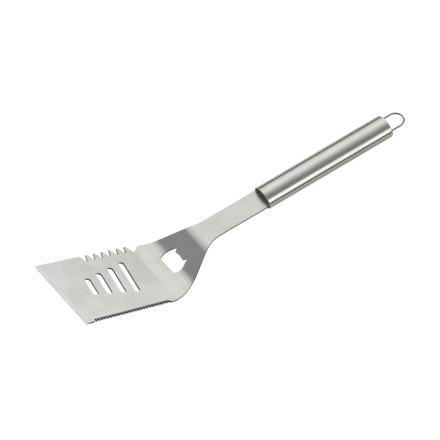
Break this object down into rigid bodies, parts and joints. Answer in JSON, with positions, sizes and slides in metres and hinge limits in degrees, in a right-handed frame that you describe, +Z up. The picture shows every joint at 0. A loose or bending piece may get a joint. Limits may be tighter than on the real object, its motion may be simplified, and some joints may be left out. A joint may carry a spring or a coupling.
{
  "type": "grill spatula",
  "caption": "Steel grill turner: bent slotted blade with ground front edge, toothed and serrated sides and bottle-opener hole, on a hollow oval handle with a wire hanging loop",
  "frame": {"origin": "on the supporting surface, midway between the blade's front edge and the end of the hanging loop, on the centre line", "axes": "+X from the blade towards the handle and its hanging loop, +Z up with the spatula lying as it rests on a table, +Y towards the toothed side"},
  "size_m": [0.4589, 0.0964, 0.0599],
  "materials": {
    "brushed_sheet": "brushed",
    "satin_tube": "satin",
    "polished_steel": "polished"
  },
  "bodies": {
    "root": {"blade": "brushed_sheet", "handle_tube": "satin_tube", "front_cap": "polished_steel", "rear_cap": "satin_tube", "hanging_loop": "polished_steel"}
  },
  "joints": []
}
